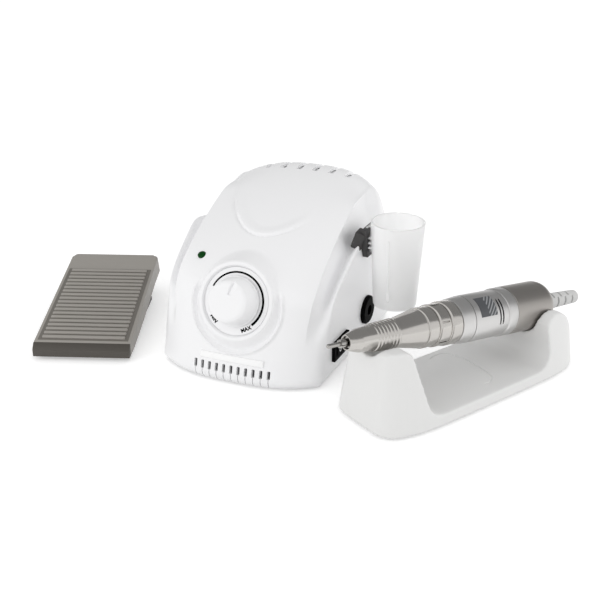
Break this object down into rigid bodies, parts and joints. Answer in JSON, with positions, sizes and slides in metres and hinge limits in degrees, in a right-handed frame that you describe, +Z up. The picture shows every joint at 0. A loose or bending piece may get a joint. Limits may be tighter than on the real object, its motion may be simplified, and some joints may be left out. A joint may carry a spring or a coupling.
{
  "type": "nail drill machine",
  "caption": "White desk-top nail drill: control unit with speed dial and bit cup, micromotor handpiece on a cradle, and a grey foot pedal.",
  "frame": {"origin": "middle of the control unit's flat underside, a foot's height above the table", "axes": "+Z up, +X to the unit's right as seen from its front, and the unit's front faces -Y"},
  "size_m": [0.3369, 0.1907, 0.0947],
  "materials": {
    "white_plastic": "smooth moulded, soft gloss",
    "black_plastic": "moulded",
    "dark_plastic": "moulded, dull",
    "pedal_plastic": "moulded, satin",
    "cup_plastic": "frosted, lets light through",
    "green_lens": "clear coloured lens",
    "rubber": "dull",
    "pale_rubber": "dull",
    "silver": "polished",
    "satin_silver": "satin",
    "grey_coat": "satin coat",
    "steel": "plain",
    "label": "printed panel",
    "board": "lacquered",
    "copper": "wire",
    "iron": "stacked sheet",
    "cap_sleeve": "shrunk sleeve",
    "carbon": "pressed carbon"
  },
  "bodies": {
    "unit": {"upper_shell": "white_plastic", "dial_pod": "white_plastic", "base_plate": "white_plastic", "rubber_feet": "rubber", "base_screws": "steel", "dial_plate": "white_plastic", "potentiometer": "steel", "pot_nut": "steel", "power_lamp": "green_lens", "circuit_board": "board", "board_screws": "steel", "heat_sink": "satin_silver", "capacitors": "cap_sleeve", "transformer_core": "iron", "transformer_coil": "copper", "transformer_strap": "steel", "rocker_frame": "black_plastic", "handpiece_socket": "black_plastic", "socket_nut": "steel", "pedal_socket": "black_plastic", "mains_gland": "black_plastic", "fuse_cap": "black_plastic", "cup_bracket": "dark_plastic", "cradle_body": "white_plastic", "cradle_feet": "pale_rubber", "pedal_base": "dark_plastic", "hinge_pin": "steel", "return_spring": "steel", "switch_box": "black_plastic", "pedal_feet": "rubber", "pedal_screws": "steel", "pedal_gland": "dark_plastic"},
    "knob": {"speed_knob": "white_plastic", "pot_shaft": "steel"},
    "rocker": {"power_rocker": "black_plastic"},
    "cup": {"bit_cup": "cup_plastic"},
    "handpiece": {"nose_cone": "silver", "front_band": "white_plastic", "barrel": "satin_silver", "label_panel": "label", "rear_ring": "white_plastic", "rear_sleeve": "grey_coat", "strain_relief": "pale_rubber", "spindle_bearings": "steel", "motor_can": "steel", "motor_magnets": "iron", "brush_holder": "dark_plastic", "carbon_brushes": "carbon", "motor_bearings": "steel"},
    "collar": {"lock_collar": "silver"},
    "drive": {"spindle": "steel", "collet": "steel", "drive_coupling": "dark_plastic", "motor_shaft": "steel", "rotor": "copper", "commutator": "copper"},
    "pin": {"dummy_pin": "steel"},
    "pedal": {"treadle": "pedal_plastic"},
    "plunger": {"switch_plunger": "dark_plastic"}
  },
  "joints": [
    {"name": "speed_turn", "type": "hinge", "parent": "unit", "child": "knob", "pos_m": [0, -0.0656, 0.0475], "axis": [0, -0.9272, 0.3746], "range_deg": [-140, 145]},
    {"name": "power_rock", "type": "hinge", "parent": "unit", "child": "rocker", "pos_m": [0.05384, -0.03807, 0.016], "axis": [0, 0, 1], "range_deg": [0, 22]},
    {"name": "cup_lift", "type": "slide", "parent": "unit", "child": "cup", "axis": [0, 0, 1], "range_m": [0, 0.018]},
    {"name": "handpiece_lift", "type": "slide", "parent": "unit", "child": "handpiece", "axis": [0, 0, 1], "range_m": [0, 0.035]},
    {"name": "collar_twist", "type": "hinge", "parent": "handpiece", "child": "collar", "pos_m": [0.07689, -0.09869, 0.05174], "axis": [0.5315, 0.8375, -0.1271], "range_deg": [0, 50]},
    {"name": "drive_spin", "type": "hinge", "parent": "handpiece", "child": "drive", "pos_m": [0.07689, -0.09869, 0.05174], "axis": [0.5315, 0.8375, -0.1271], "continuous": true},
    {"name": "pin_pull", "type": "slide", "parent": "drive", "child": "pin", "axis": [-0.5315, -0.8375, 0.1271], "range_m": [0, 0.02]},
    {"name": "treadle_press", "type": "hinge", "parent": "unit", "child": "pedal", "pos_m": [-0.09909, -0.07408, 0.0039], "axis": [0.9472, 0.3206, 0], "range_deg": [-4, 0], "stiffness_Nm_per_rad": 2, "springref_deg": 2.86, "deforming": ["return_spring"]},
    {"name": "plunger_press", "type": "slide", "parent": "unit", "child": "plunger", "axis": [0, 0, 1], "range_m": [-0.0033, 0]}
  ],
  "couplings": [
    {"joint": "plunger_press", "follows": "treadle_press", "m_per_rad": 0.043}
  ]
}
